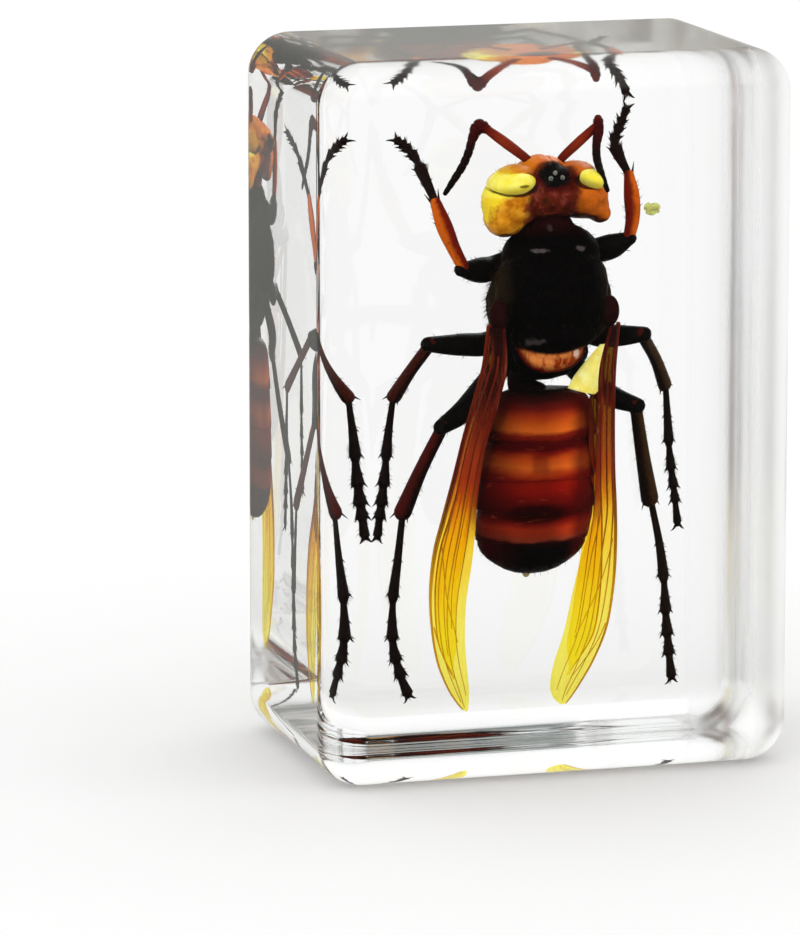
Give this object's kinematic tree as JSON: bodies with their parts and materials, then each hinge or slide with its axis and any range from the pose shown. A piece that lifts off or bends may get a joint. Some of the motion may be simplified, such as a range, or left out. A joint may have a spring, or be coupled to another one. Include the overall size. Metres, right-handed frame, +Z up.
{
  "type": "insect in resin block",
  "caption": "Small upright block of clear resin with rounded edges and a large hornet sealed inside it, wings folded, legs and antennae spread.",
  "frame": {"origin": "centre of the block's base", "axes": "+Z up along the block's height, +Y from the front face, which the insect's back is turned to, to the back face, +X to the insect's right side"},
  "size_m": [0.029, 0.02, 0.043],
  "materials": {
    "clear_resin": "polished clear casting resin",
    "amber_cuticle": "amber to orange cuticle, slightly translucent",
    "black_cuticle": "black cuticle with short brown hair",
    "red_cuticle": "dark red cuticle with orange bands and a black tip",
    "dark_horn": "dark red-brown horn",
    "amber_membrane": "thin amber wing membrane, darker along the leading edge",
    "leg_cuticle": "black-brown leg cuticle, orange on the front shins"
  },
  "bodies": {
    "root": {"resin_front": "clear_resin", "resin_back": "clear_resin", "head": "amber_cuticle", "thorax": "black_cuticle", "abdomen": "red_cuticle", "antenna_left": "dark_horn", "antenna_right": "dark_horn", "fore_wing_left": "amber_membrane", "fore_wing_right": "amber_membrane", "hind_wing_left": "amber_membrane", "hind_wing_right": "amber_membrane", "front_leg_left": "leg_cuticle", "front_leg_right": "leg_cuticle", "mid_leg_left": "leg_cuticle", "mid_leg_right": "leg_cuticle", "hind_leg_left": "leg_cuticle", "hind_leg_right": "leg_cuticle"}
  },
  "joints": []
}
